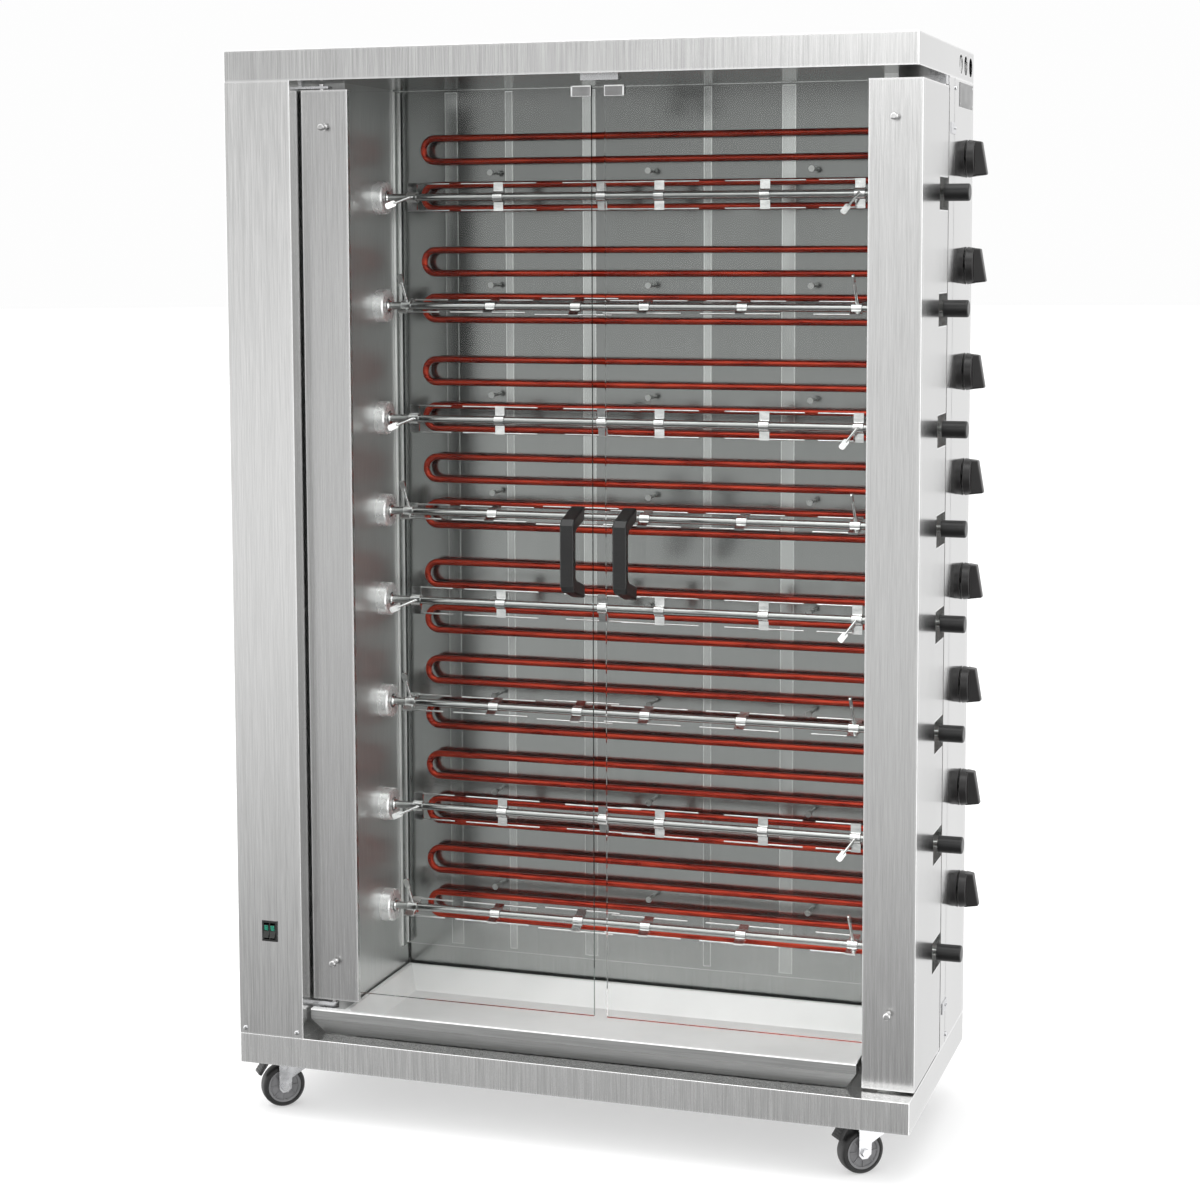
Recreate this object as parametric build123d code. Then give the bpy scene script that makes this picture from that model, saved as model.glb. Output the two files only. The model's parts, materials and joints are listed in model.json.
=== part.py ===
from build123d import *
import os

# Rotisserie oven. Cabinet coordinates in mm: x from the left side, y from the
# front plane backwards, z from the floor. save() moves them to the row frame.
WIDTH = 1245.0
DEPTH = 530.0
HEIGHT = 1940.0
PLINTH_Z = (100.0, 155.0)
HOOD_Z = (1885.0, HEIGHT)
SHEET = 1.5
CORNER_R = 2.0
FOLD_R = 1.2
BASE_SHEET = 2.0
BASE_FLANGE = 25.0
CASTOR_PAD = 60.0
CASTOR_PAD_SHEET = 3.0
RUNNER_X = (270.0, 1080.0)
RUNNER_Y = (60.0, 330.0)
RUNNER_HALF = 12.0
RUNNER_RISE = 10.0
PANEL_Z = (PLINTH_Z[1], HOOD_Z[0])
VENT_Y = (396.0, 446.0, 497.0)
VENT_R = 17.0
OUTER_X = 1290.0
HANDLE_Y = -12.0
ORIGIN = (OUTER_X / 2, (HANDLE_Y + DEPTH) / 2)
REAR_RETURN = 22.0
SLOT_WIDTH = 5.0
SIDE_SLOT_Z = (260.0, 1700.0)
SIDE_SLOT_Y = tuple(130.0 + 26.0 * k for k in range(10))
SIDE_SLOT_HEIGHT = 80.0
REAR_SLOT_X = (220.0, 560.0, 900.0)
REAR_SLOT_Z = tuple(foot + 16.0 * k for foot in (300.0, 1650.0) for k in range(8))
REAR_SLOT_LENGTH = 140.0

# Cooking space
LEFT_FRONT_X = 127.0
LEFT_STEP_Y = 100.0
LEFT_WALL_X = 190.0
RIGHT_WALL_X = 1150.0
RIGHT_WALL_Y = 190.0
BACK_Y = 350.0
BACK_FOOT_Z = 244.0
BACK_FOOT_STEP = 8.0
BACK_FLANGE = 34.0
WALL_FLANGE = 24.0
BEADS = ((295.0, 24.0), (410.0, 14.0), (567.0, 24.0), (794.0, 14.0), (945.0, 24.0))
BEAD_RISE = 1.5
BEAD_Z = (252.0, 1880.0)
POST_Y = 287.0
CONTROL_Y = 337.0
PANEL_GAP = 2.5
REAR_Y = 514.5
RATING_Y = (385.0, 516.0)
RATING_Z = (1838.0, 1880.0)
RATING_SHEET = 0.8

# Spits, from the top down
SPIT_Z = (1684.0, 1485.0, 1276.0, 1103.0, 936.0, 742.0, 544.0, 349.0)
SPIT_Y = 242.0
SPIT_R = 7.0
FORKS_ODD = (260.0, 429.0, 627.0, 735.0, 929.0, 1099.0)
FORKS_EVEN = (247.0, 414.0, 578.0, 708.0, 889.0, 1095.0)
FORK_WIDTH = 18.0
FORK_HEIGHT = 52.0
FORK_PLATE = 4.0
FORK_SKEW_DEG = 10.0
TINE_R = 1.6
TINE_REACH = 73.0
LEVER_R = 2.6
LEVER_LENGTH = 34.0
PADDLE = (11.0, 3.0, 20.0)
EVEN_SPIT_DEG = -64.0
HUB_R = 11.0
SOCKET_R = 31.0
SOCKET_DEPTH = 20.0
GRIP_R = 15.0
GRIP_X = (1247.0, OUTER_X)
RUN_GAP = 0.05
SLIDE_GAP = 1.0
HUB_WALL = 3.5
SCREW_STEM_R = 3.2
SCREW_REACH = 9.0
PADDLE_OVERLAP = 7.0
SCREWS_ODD = ((-0.8, -0.35, -0.35), (-0.5, -0.35, -0.7))
SCREWS_EVEN = ((-0.12, -1, 0.1), (-0.08, -1, 0.15))

# Drives behind the left wall
SHAFT_R = 5.0
SHAFT_X = 160.0
SHAFT_BORE_X = (155.0, 180.0)
DRIVE_HOLE_R = 10.0
GEARBOX_X = (100.0, 172.0)
GEARBOX_HALF = 36.0
MOTOR_X = 38.0
MOTOR_R = 29.0
STANDOFF_R = 4.0
STANDOFF_OFFSET = 28.0

# Heating elements, from the top down
ELEMENT_Z = (1730.0, 1522.0, 1317.0, 1133.0, 932.0, 747.0, 562.0, 378.0)
ELEMENT_Y = 330.0
ELEMENT_R = 6.0
STUD_NUT_R = 5.5
ELEMENT_PITCH = 43.5
ELEMENT_LEFT_X = 241.0
ELEMENT_RIGHT_X = 1125.0
TERMINAL_X = 1175.0
TERMINAL_R = 3.0
TERMINAL_LENGTH = 14.0
CLIP_X = (384.0, 690.0, 994.0)

# Knobs, from the top down
KNOB_TOP_Z = 1749.0
KNOB_PITCH = 192.3
KNOB_Z = tuple(KNOB_TOP_Z - KNOB_PITCH * k for k in range(8))
KNOB_Y = 480.0
KNOB_R = 34.0
KNOB_BAR_LOW = (27.0, 64.0)
KNOB_BAR_HIGH = (15.0, 58.0)
KNOB_SKIRT = 13.0
KNOB_TOP_X = 1270.0
POST_PLATE_Y = (302.0, 345.0)
POST_PLATE_Z = (216.0, 1787.0)
KNOB_X = (1247.0, 1282.0)
KNOB_BAR_FOOT = 9.0
KNOB_STUB_R = 3.0
KNOB_STUB_X = 1224.0
KNOB_HOLE_R = 5.0
REGULATOR_X = (1190.0, 1230.0)
REGULATOR_HALF = 22.0
REGULATOR_BUSH_R = 8.0
REGULATOR_BORE_X = 1218.0

# Doors
DOOR_Y = 40.0
GLASS_Y = (50.0, 56.0)
GLASS_Z = (235.0, 1866.0)
DOOR_RETURN_Y = 62.0
CLAMP_PLATE_INSET = 15.0
LEFT_PIVOT = (165.0, 55.0)
LEFT_STILE_X = (131.0, 220.0)
LEFT_STILE_Z = (220.0, 1870.0)
LEFT_GLASS_X = (140.0, 670.0)
RIGHT_PIVOT = (1236.0, 276.0)
COLUMN_X = (1154.0, WIDTH)
COLUMN_Y = 42.0
COLUMN_Z = (159.0, 1867.5)
COLUMN_REAR_Y = 280.0
COLUMN_PLATE_INSET = 11.0
COLUMN_CAP = 22.0
RIGHT_GLASS_X = (694.0, 1235.0)
NOTCH_Y = 200.0
NOTCH_DOWN = 30.0
NOTCH_UP = 26.0
PIN_R = 4.0
PIN_FOOT_Z = 207.5
PIN_TOP_Z = 1880.0
CLAMP_Z = (292.0, 1805.0)
CLAMP_STUD = 17.0
CLAMP_HEAD_R = 6.5
CLAMP_HEAD = 7.0
CLAMP_STEM_R = 4.5
BOLT_R = 3.0
BOLT_HOLE_R = 3.2
NUT_R = 6.0
NUT = 5.0
HANDLE_BOLT_R = 2.5
HANDLE_BOLT_HOLE_R = 2.7
HANDLE_NUT = 4.0
HANDLE_BOLT_OFFSET = 68.0
CATCH_SIZE = 36.0
CATCH_DROP = 17.0
MAGNET_HALF = 34.0
MAGNET_Z = 1877.0
MAGNET_Y = (58.0, 74.0)
LOW_BRACKET_Z = (202.0, 214.0)
HIGH_BRACKET_Z = (1873.0, 1877.0)
BRACKET_BACK = 8.0
BRACKET_FRONT = 10.0
BRACKET_BOSS_R = 9.0
PIVOT_FOOT = 3.0
PIVOT_HEAD_Z = 1870.0
HANDLE_X = (643.0, 738.0)
HANDLE_Z = 1063.0
HANDLE_WIDTH = 25.0

# Drip tray, as (x0, x1, y0, y1) rectangles
TRAY_LOW = (225.0, 1125.0, 100.0, 300.0)
TRAY_HIGH = (200.0, 1143.0, 27.0, 341.0)
TRAY_RIM = (194.0, 1147.0, 25.0, 347.0)
TRAY_Z = (165.3, 205.0)
TRAY_LIP_X = (132.0, 1148.0)
TRAY_LIP_Y = (25.0, 38.0)
TRAY_LIP_DROP = 18.0
APRON_FOOT = (44.0, 156.5)
APRON_CORNER = (34.0, 22.0)

# Castors
STEM_X = (75.0, WIDTH - 75.0)
STEM_Y = (88.0, DEPTH - 88.0)
WHEEL_R = 40.0
WHEEL_HALF = 14.0
TRAIL = 30.0
SWIVEL_DEG = 220.0
AXLE_R = 6.0
CASTOR_PLATE = (47.5, 37.5)
CASTOR_PLATE_SHEET = 3.5
CROWN_Z = (83.0, 85.5)
CROWN = (24.0, 18.5)
CUP_R = 22.0
CUP_TOP_Z = 95.5
STEM_R = 16.0
STEM_FOOT_Z = 86.0
LEG_SHEET = 2.5
LEG_OUTLINE = ((-22, 85.5), (41, 85.5), (41, 36), (35, 29), (25, 29), (18, 36), (17, 56), (-22, 78))
AXLE_HEAD_R = 7.5
AXLE_HEAD = 5.0
TYRE_EDGE_R = 4.0
WHEEL_DISH_R = (12.0, 27.0)
WHEEL_DISH = 3.0
TYRE_GROOVE_R = (31.0, 32.5)
TYRE_GROOVE = 1.0
PEDAL_HALF = 13.0
PEDAL_OUTLINE = ((26, 86), (26, 89), (61, 89), (76, 67), (73.5, 65.5), (59.5, 86))

# Switch
SWITCH = (64.0, 351.0)
SWITCH_HOLE = (13.5, 17.5)
SWITCH_BEZEL = (15.0, 19.0)
SWITCH_BEZEL_DEPTH = 2.0
SWITCH_BODY = (13.0, 17.0)
SWITCH_DEPTH = 32.0
ROCKER_OFFSET = 6.2
ROCKER_HALF = 5.0
WELL = (5.5, 15.5)
WELL_DEPTH = 20.0
ROCKER_OUTLINE = ((12, -9), (-5.5, -11.5), (-1.5, 0), (-3.2, 12), (12, 9))

# Screws and bolts
SCREW_HEAD_R = 4.0
SCREW_HEAD = 1.8
FRONT_SCREW_X = (12.0, 115.0)
FRONT_SCREW_Z = PLINTH_Z[1] + 10.0
SIDE_SCREW_Z = (1868.0, 168.0)
SIDE_SCREW_Y = CONTROL_Y + 7.0
REAR_SCREW_X = (12.0, WIDTH - 12.0)
REAR_SCREW_Z = (200.0, 1020.0, 1840.0)
REAR_SCREW_HEAD = 2.0
STUD_R = 3.0
STUD_NUT_Y = (ELEMENT_Y - 13.0, ELEMENT_Y - 8.0)
CASTOR_BOLT_OFFSET = (38.0, 28.0)
CASTOR_BOLT_R = 6.0
CASTOR_BOLT = 4.5


def block(x0, x1, y0, y1, z0, z1):
    centre = Pos((x0 + x1) / 2, (y0 + y1) / 2, (z0 + z1) / 2)
    return centre * Box(x1 - x0, y1 - y0, z1 - z0)


def rod_x(radius, x0, x1, y, z):
    return Pos((x0 + x1) / 2, y, z) * Rot(0, 90, 0) * Cylinder(radius, x1 - x0)


def rod_y(radius, x, y0, y1, z):
    return Pos(x, (y0 + y1) / 2, z) * Rot(90, 0, 0) * Cylinder(radius, y1 - y0)


def rod_z(radius, x, y, z0, z1):
    return Pos(x, y, (z0 + z1) / 2) * Cylinder(radius, z1 - z0)


def prism_x(points, x0, x1):
    """Closed (y, z) outline extruded along x."""
    face = make_face(Plane.YZ * Polyline(*points, close=True))
    return Pos(x0, 0, 0) * extrude(face, x1 - x0, dir=(1, 0, 0))


def prism_y(points, y0, y1):
    """Closed (x, z) outline extruded along y."""
    face = make_face(Plane.XZ * Polyline(*points, close=True))
    return Pos(0, y0, 0) * extrude(face, y1 - y0, dir=(0, 1, 0))


def cut(shape, tools):
    for tool in tools:
        shape = shape - tool
    return shape


def save(name, *shapes):
    solids = []
    for shape in shapes:
        moved = Pos(-ORIGIN[0], -ORIGIN[1], 0) * shape
        solids.extend(moved.solids())
    result = solids[0] if len(solids) == 1 else Compound(solids)
    export_step(result, f"parts/{name}.step")


def frustum(low, high, z0, z1):
    """Four-sided tapered block between two (x0, x1, y0, y1) rectangles."""
    ends = []
    for (x0, x1, y0, y1), z in ((low, z0), (high, z1)):
        place = Pos((x0 + x1) / 2, (y0 + y1) / 2, z)
        ends.append(place * Rectangle(x1 - x0, y1 - y0))
    return loft(ends)


def folded_box(z0, z1):
    """Solid block over the whole footprint, rounded at its corners and along its top."""
    body = block(0, WIDTH, 0, DEPTH, z0, z1)
    body = fillet(body.edges().filter_by(Axis.Z), CORNER_R)
    return fillet(body.faces().sort_by(Axis.Z)[-1].edges(), FOLD_R)


def make_plinth():
    z0, z1 = PLINTH_Z
    t = BASE_SHEET
    w = BASE_FLANGE
    body = folded_box(z0, z1) - block(t, WIDTH - t, t, DEPTH - t, z0 - 1, z1 - t)
    flange = block(1, WIDTH - 1, 1, DEPTH - 1, z0, z0 + t)
    body = body + (flange - block(w, WIDTH - w, w, DEPTH - w, z0 - 1, z0 + t + 1))
    for x in STEM_X:
        for y in STEM_Y:
            x0 = max(1, x - CASTOR_PAD)
            x1 = min(WIDTH - 1, x + CASTOR_PAD)
            y0 = max(1, y - CASTOR_PAD)
            y1 = min(DEPTH - 1, y + CASTOR_PAD)
            body = body + block(x0, x1, y0, y1, z0, z0 + CASTOR_PAD_SHEET)
    for x in RUNNER_X:
        body = body + block(x - RUNNER_HALF, x + RUNNER_HALF, *RUNNER_Y, z1 - 1, z1 + RUNNER_RISE)
    save("plinth", body)


def make_hood():
    z0, z1 = HOOD_Z
    t = SHEET
    body = folded_box(z0, z1) - block(t, WIDTH - t, t, DEPTH - t, z0 + t, z1 - t)
    vents = [rod_x(VENT_R, WIDTH - 10, WIDTH + 10, y, (z0 + z1) / 2) for y in VENT_Y]
    save("top_hood", cut(body, vents))


def make_left_cabinet():
    z0, z1 = PANEL_Z
    t = SHEET
    x1 = LEFT_FRONT_X
    front = block(0, x1, 0, t, z0, z1) + block(x1 - t, x1, 0, LEFT_STEP_Y - t, z0, z1)
    edges = front.edges().filter_by(Axis.Z).filter_by_position(Axis.Y, -0.01, 0.01)
    front = fillet(edges, FOLD_R)
    sx, sz = SWITCH
    wide, high = SWITCH_HOLE
    front = front - block(sx - wide, sx + wide, -1, t + 1, sz - high, sz + high)
    save("left_front_panel", front)

    side = block(0, t, t, DEPTH, z0, z1)
    side = side + block(t, REAR_RETURN, REAR_Y - t, REAR_Y, z0, z1)
    slots = []
    for z in SIDE_SLOT_Z:
        for y in SIDE_SLOT_Y:
            slots.append(block(-1, t + 1, y, y + SLOT_WIDTH, z, z + SIDE_SLOT_HEIGHT))
    save("left_side_panel", cut(side, slots))

    wx = LEFT_WALL_X
    wall = block(x1 - t, wx, LEFT_STEP_Y - t, LEFT_STEP_Y, z0, z1)
    wall = wall + block(wx - t, wx, LEFT_STEP_Y - t, BACK_Y, z0, z1)
    holes = [rod_x(DRIVE_HOLE_R, wx - 5, wx + 5, SPIT_Y, z) for z in SPIT_Z]
    save("left_inner_wall", cut(wall, holes))


def make_right_side():
    z0, z1 = PANEL_Z
    t = SHEET
    x0 = RIGHT_WALL_X
    y0 = RIGHT_WALL_Y
    wall = block(x0, x0 + t, y0, BACK_Y, z0, z1) + block(x0, x0 + WALL_FLANGE, y0, y0 + t, z0, z1)
    holes = []
    r = SPIT_R + SLIDE_GAP
    for z in SPIT_Z:
        holes.append(block(x0 - 5, x0 + WALL_FLANGE + 6, y0 - 5, SPIT_Y, z - r, z + r))
        holes.append(rod_x(r, x0 - 5, x0 + 5, SPIT_Y, z))
    for z in ELEMENT_Z:
        for side in (-1.5, 1.5):
            row = z + side * ELEMENT_PITCH
            holes.append(rod_x(ELEMENT_R + SLIDE_GAP, x0 - 5, x0 + 5, ELEMENT_Y, row))
    save("right_inner_wall", cut(wall, holes))

    post = block(WIDTH - t, WIDTH, POST_Y, CONTROL_Y - PANEL_GAP, z0, z1)
    post = post + block(x0 + t, WIDTH, POST_Y, POST_Y + t, z0, z1)
    control = block(WIDTH - t, WIDTH, CONTROL_Y, DEPTH, z0, z1)
    control = control + block(WIDTH - REAR_RETURN, WIDTH, REAR_Y - t, REAR_Y, z0, z1)
    control = cut(control, [rod_x(KNOB_HOLE_R, WIDTH - 5, WIDTH + 5, KNOB_Y, z) for z in KNOB_Z])
    plate = block(WIDTH, WIDTH + RATING_SHEET, *RATING_Y, *RATING_Z)
    save("right_side_panels", post, control, plate)


def make_rear():
    t = SHEET
    z0, z1 = PANEL_Z
    cover = block(t, WIDTH - t, REAR_Y, REAR_Y + t, z0, z1)
    slots = []
    for z in REAR_SLOT_Z:
        for x in REAR_SLOT_X:
            slots.append(block(x, x + REAR_SLOT_LENGTH, REAR_Y - 1, REAR_Y + t + 1, z, z + SLOT_WIDTH))
    save("rear_cover", cut(cover, slots))

    x0 = LEFT_WALL_X
    step = BACK_Y + BACK_FOOT_STEP
    wall = block(x0 + t, RIGHT_WALL_X, BACK_Y, BACK_Y + t, BACK_FOOT_Z, z1)
    wall = wall + block(x0, x0 + t, BACK_Y - BACK_FLANGE, BACK_Y + t, BACK_FOOT_Z, z1)
    wall = wall + block(x0 + t, RIGHT_WALL_X, BACK_Y, step + t, BACK_FOOT_Z, BACK_FOOT_Z + t)
    wall = wall + block(x0 + t, RIGHT_WALL_X, step, step + t, z0, BACK_FOOT_Z + t)
    for x, width in BEADS:
        wall = wall + block(x - width / 2, x + width / 2, BACK_Y - BEAD_RISE, BACK_Y + 1, *BEAD_Z)
    save("back_wall", wall)


def element(z):
    """Four straight runs joined by three bends, both ends leaving to the right."""
    r = ELEMENT_PITCH / 2
    left = ELEMENT_LEFT_X + ELEMENT_R + r
    right = ELEMENT_RIGHT_X - ELEMENT_R - r
    y = ELEMENT_Y
    rows = [z + (1.5 - k) * ELEMENT_PITCH for k in range(4)]
    ends = [(TERMINAL_X, left), (left, right), (right, left), (left, TERMINAL_X)]
    edges = []
    for k in range(4):
        edges.append(Line((ends[k][0], y, rows[k]), (ends[k][1], y, rows[k])))
        if k < 3:
            x = ends[k][1]
            bulge = x - r if x == left else x + r
            middle = (rows[k] + rows[k + 1]) / 2
            edges.append(ThreePointArc((x, y, rows[k]), (bulge, y, middle), (x, y, rows[k + 1])))
    start = Plane(origin=(TERMINAL_X, y, rows[0]), z_dir=(-1, 0, 0))
    tube = sweep(start * Circle(ELEMENT_R), path=Wire(edges))
    for row in (rows[0], rows[3]):
        tube = tube + rod_x(TERMINAL_R, TERMINAL_X - 1, TERMINAL_X + TERMINAL_LENGTH, y, row)
    return tube


def make_elements():
    save("heating_elements", *[element(z) for z in ELEMENT_Z])


def make_drives():
    wx = LEFT_WALL_X
    sockets = []
    motors = []
    for z in SPIT_Z:
        ring = rod_x(SOCKET_R, wx, wx + SOCKET_DEPTH, SPIT_Y, z)
        ring = chamfer(ring.faces().sort_by(Axis.X)[-1].edges(), 2.5)
        sockets.append(ring - rod_x(HUB_R + 2, wx - 1, wx + SOCKET_DEPTH + 1, SPIT_Y, z))
        g = GEARBOX_HALF
        gearbox = block(*GEARBOX_X, SPIT_Y - g, SPIT_Y + g, z - g, z + g)
        gearbox = gearbox + rod_x(MOTOR_R, MOTOR_X, GEARBOX_X[0], SPIT_Y, z)
        for dy in (-STANDOFF_OFFSET, STANDOFF_OFFSET):
            for dz in (-STANDOFF_OFFSET, STANDOFF_OFFSET):
                standoff = rod_x(STANDOFF_R, GEARBOX_X[1], wx - SHEET, SPIT_Y + dy, z + dz)
                gearbox = gearbox + standoff
        motors.append(gearbox - rod_x(SHAFT_R + RUN_GAP, *SHAFT_BORE_X, SPIT_Y, z))
    save("spit_sockets", *sockets)
    save("gearmotors", *motors)

    boxes = []
    for z in KNOB_Z:
        h = REGULATOR_HALF
        box = block(*REGULATOR_X, KNOB_Y - h, KNOB_Y + h, z - h, z + h)
        box = box + rod_x(REGULATOR_BUSH_R, REGULATOR_X[1], WIDTH - SHEET, KNOB_Y, z)
        boxes.append(box - rod_x(KNOB_STUB_R + RUN_GAP, REGULATOR_BORE_X, WIDTH, KNOB_Y, z))
    save("regulators", *boxes)


def turn_about_spit(shape, z, degrees):
    """Turn a piece about the axis of the spit at height z."""
    axis = Pos(0, SPIT_Y, z)
    return axis * Rot(degrees, 0, 0) * axis.inverse() * shape


def fork(x, z, sides):
    """Plate with a hub on the rod; tines at both ends of the plate towards the given sides."""
    half = FORK_WIDTH / 2
    tip = FORK_HEIGHT / 2
    y0 = SPIT_Y - FORK_PLATE / 2
    body = block(x - half, x + half, y0, y0 + FORK_PLATE, z - tip, z + tip)
    body = body + rod_x(SPIT_R + HUB_WALL, x - half, x + half, SPIT_Y, z)
    for side in sides:
        for end in (-1, 1):
            a = x + side * (half - 1)
            b = x + side * TINE_REACH
            row = z + end * (tip - TINE_R - 0.2)
            body = body + rod_x(TINE_R, min(a, b), max(a, b), SPIT_Y, row)
    return body - rod_x(SPIT_R + RUN_GAP, x - half - 1, x + half + 1, SPIT_Y, z)


def thumb_screw(x, z, direction):
    """Stem out of a fork's hub, then a rod with a flat paddle along direction."""
    y = SPIT_Y - SPIT_R - SCREW_REACH
    stem = rod_y(SCREW_STEM_R, x, y, SPIT_Y - SPIT_R - HUB_WALL + 0.2, z)
    along = Plane(origin=(x, y, z), z_dir=direction)
    rod = along * Pos(0, 0, LEVER_LENGTH / 2 - 2) * Cylinder(LEVER_R, LEVER_LENGTH)
    paddle = Box(*PADDLE)
    paddle = fillet(paddle.edges().filter_by(Axis.Y), 4)
    return stem + rod + along * Pos(0, 0, LEVER_LENGTH + PADDLE[2] / 2 - PADDLE_OVERLAP) * paddle


def make_spit(number):
    z = SPIT_Z[number - 1]
    wx = LEFT_WALL_X
    rod = rod_x(SPIT_R, wx + 20, GRIP_X[0], SPIT_Y, z)
    hub = rod_x(HUB_R, wx + 2, wx + 24, SPIT_Y, z)
    hub = chamfer(hub.faces().sort_by(Axis.X)[-1].edges(), 2)
    shaft = rod_x(SHAFT_R, SHAFT_X, wx + 3, SPIT_Y, z)
    odd = number % 2 == 1
    places = FORKS_ODD if odd else FORKS_EVEN
    pieces = []
    for k, x in enumerate(places):
        sides = (1,) if k == 0 else (-1,) if k == len(places) - 1 else (-1, 1)
        skew = FORK_SKEW_DEG if k == 2 else 0
        pieces.append(turn_about_spit(fork(x, z, sides), z, skew))
    directions = SCREWS_ODD if odd else SCREWS_EVEN
    pieces.append(thumb_screw(places[0], z, directions[0]))
    pieces.append(thumb_screw(places[-1], z, directions[1]))
    rest_deg = 0 if odd else EVEN_SPIT_DEG
    pieces = [turn_about_spit(piece, z, rest_deg) for piece in pieces]
    save(f"spit_{number}", rod + hub + shaft, *pieces)

    grip = rod_x(GRIP_R, *GRIP_X, SPIT_Y, z)
    grip = fillet(grip.faces().sort_by(Axis.X)[-1].edges(), 3)
    save(f"spit_grip_{number}", grip)


def make_knob(number):
    z = KNOB_Z[number - 1]
    x0, x1 = KNOB_X
    skirt = Pos(x0 + KNOB_SKIRT / 2, KNOB_Y, z) * Rot(0, 90, 0) * Cone(KNOB_R, KNOB_R - 2, KNOB_SKIRT)
    skirt = fillet(skirt.faces().sort_by(Axis.X)[-1].edges(), 1.5)
    ends = []
    for x, size in ((x0 + KNOB_BAR_FOOT, KNOB_BAR_LOW), (x1 + 1, KNOB_BAR_HIGH)):
        plane = Plane(origin=(x, KNOB_Y, z), x_dir=(0, 1, 0), z_dir=(1, 0, 0))
        ends.append(plane * Rectangle(*size))
    bar = loft(ends)
    top = z + KNOB_R
    foot = z - KNOB_R
    beyond = [(KNOB_TOP_X, top), (x1, foot), (x1 + 20, foot), (x1 + 20, top)]
    bar = bar - prism_y(beyond, KNOB_Y - KNOB_R - 1, KNOB_Y + KNOB_R + 1)
    bar = fillet(bar.edges().filter_by_position(Axis.X, x0 + KNOB_SKIRT + 1, x1 + 1), 3)
    stub = rod_x(KNOB_STUB_R, KNOB_STUB_X, x0 + 2, KNOB_Y, z)
    save(f"knob_{number}", skirt + bar + stub)


def switch_block(x, half, y0, y1):
    """Block centred on the switch in height."""
    wide, high = half
    return block(x - wide, x + wide, y0, y1, SWITCH[1] - high, SWITCH[1] + high)


def make_switch():
    x, z = SWITCH
    body = switch_block(x, SWITCH_BEZEL, -SWITCH_BEZEL_DEPTH, 0)
    body = body + switch_block(x, SWITCH_BODY, -1, SWITCH_DEPTH)
    outline = [(y, z + rise) for y, rise in ROCKER_OUTLINE]
    for name, centre in (("rocker_left", x - ROCKER_OFFSET), ("rocker_right", x + ROCKER_OFFSET)):
        body = body - switch_block(centre, WELL, -SWITCH_BEZEL_DEPTH - 1, WELL_DEPTH)
        save(name, prism_x(outline, centre - ROCKER_HALF, centre + ROCKER_HALF))
    save("switch_housing", body)


def cap_nut(x, z, front, rear):
    """Clamp bolt with a long stem and domed head in front and a nut behind."""
    tip = front - CLAMP_STUD
    head = rod_y(CLAMP_HEAD_R, x, tip, tip + CLAMP_HEAD, z)
    head = fillet(head.faces().sort_by(Axis.Y)[0].edges(), 3)
    stem = rod_y(CLAMP_STEM_R, x, tip + CLAMP_HEAD - 1, front, z)
    bolt = rod_y(BOLT_R, x, front - 1, rear + 1, z)
    return head + stem + bolt + rod_y(NUT_R, x, rear, rear + NUT, z)


def catch_plate(x0, x1):
    """Clip over the top edge of the glass."""
    y0, y1 = GLASS_Y
    z1 = GLASS_Z[1]
    outer = block(x0, x1, y0 - SHEET, y1 + SHEET, z1 - CATCH_DROP, z1 + SHEET)
    return outer - block(x0 - 1, x1 + 1, y0, y1, z1 - CATCH_DROP - 3, z1)


def handle(x):
    zc = HANDLE_Z
    y0 = GLASS_Y[0]
    outer = [(y0, -80), (y0, -56), (10, -44), (4, -37), (4, 37), (10, 44), (y0, 56), (y0, 80)]
    outer += [(-4, 63), (HANDLE_Y, 53), (HANDLE_Y, -53), (-4, -63)]
    bow = prism_x([(y, zc + z) for y, z in outer], x - HANDLE_WIDTH / 2, x + HANDLE_WIDTH / 2)
    edges = bow.edges().filter_by(lambda edge: edge.center().Y < y0 - 1)
    return fillet(edges.filter_by(Axis.X, reverse=True), 3.5)


def handle_bolts(x):
    bolts = []
    for z in (HANDLE_Z - HANDLE_BOLT_OFFSET, HANDLE_Z + HANDLE_BOLT_OFFSET):
        bolt = rod_y(HANDLE_BOLT_R, x, GLASS_Y[0] + 0.2, GLASS_Y[1] + 1, z)
        bolts.append(bolt + rod_y(NUT_R, x, GLASS_Y[1], GLASS_Y[1] + HANDLE_NUT, z))
    return bolts


def glass(x0, x1, clamp_x, handle_x):
    pane = block(x0, x1, *GLASS_Y, *GLASS_Z)
    front = GLASS_Y[0] - 1
    rear = GLASS_Y[1] + 1
    holes = [rod_y(BOLT_HOLE_R, clamp_x, front, rear, z) for z in CLAMP_Z]
    for z in (HANDLE_Z - HANDLE_BOLT_OFFSET, HANDLE_Z + HANDLE_BOLT_OFFSET):
        holes.append(rod_y(HANDLE_BOLT_HOLE_R, handle_x, front, rear, z))
    return cut(pane, holes)


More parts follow.
